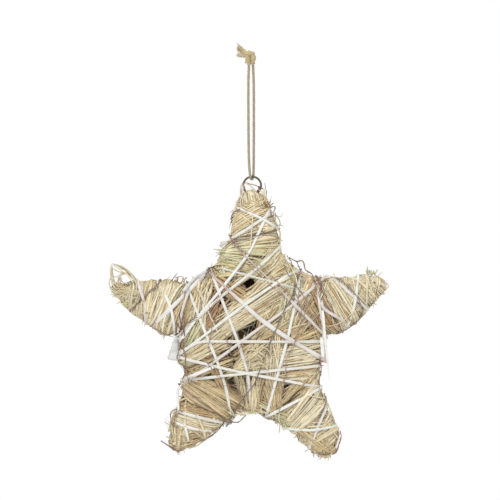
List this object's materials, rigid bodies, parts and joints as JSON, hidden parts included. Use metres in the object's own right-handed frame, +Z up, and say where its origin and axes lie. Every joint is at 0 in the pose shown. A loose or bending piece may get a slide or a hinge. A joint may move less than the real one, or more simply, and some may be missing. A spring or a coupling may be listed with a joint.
{
  "type": "straw star ornament",
  "caption": "Star-shaped hanging ornament of wound straw, tied with pale flat strips and thin brown twigs, with a wire ring and a knotted loop of twine to hang it by.",
  "frame": {"origin": "where the twine loop hangs, just under its knot, between its two strands", "axes": "+Z up along the loop, +X to the viewer's right, -Y out of the star's front"},
  "size_m": [0.2757, 0.0582, 0.4147],
  "materials": {
    "straw": "matte dried straw",
    "white_strip": "matte bleached shaving",
    "vine": "matte dry vine",
    "dark_wire": "dull dark",
    "twine": "rough jute"
  },
  "bodies": {
    "root": {"straw_star": "straw", "hanging_ring": "dark_wire", "hanging_cord": "twine", "hanging_knot": "twine", "white_strip_01": "white_strip", "white_strip_02": "white_strip", "white_strip_03": "white_strip", "white_strip_04": "white_strip", "white_strip_05": "white_strip", "white_strip_06": "white_strip", "white_strip_07": "white_strip", "white_strip_08": "white_strip", "white_strip_09": "white_strip", "white_strip_10": "white_strip", "white_strip_11": "white_strip", "white_strip_12": "white_strip", "white_strip_13": "white_strip", "white_strip_14": "white_strip", "white_strip_15": "white_strip", "white_strip_16": "white_strip", "white_strip_17": "white_strip", "white_strip_18": "white_strip", "white_strip_19": "white_strip", "white_strip_20": "white_strip", "white_strip_21": "white_strip", "white_strip_22": "white_strip", "white_strip_23": "white_strip", "white_strip_24": "white_strip", "white_strip_25": "white_strip", "vine_twig_01": "vine", "vine_twig_02": "vine", "vine_twig_03": "vine", "vine_twig_04": "vine", "vine_twig_05": "vine", "vine_twig_06": "vine", "vine_twig_07": "vine", "vine_twig_08": "vine", "vine_curl_01": "vine", "vine_curl_02": "vine", "vine_curl_03": "vine", "vine_curl_04": "vine", "vine_curl_05": "vine", "vine_curl_06": "vine", "vine_curl_07": "vine"}
  },
  "joints": []
}
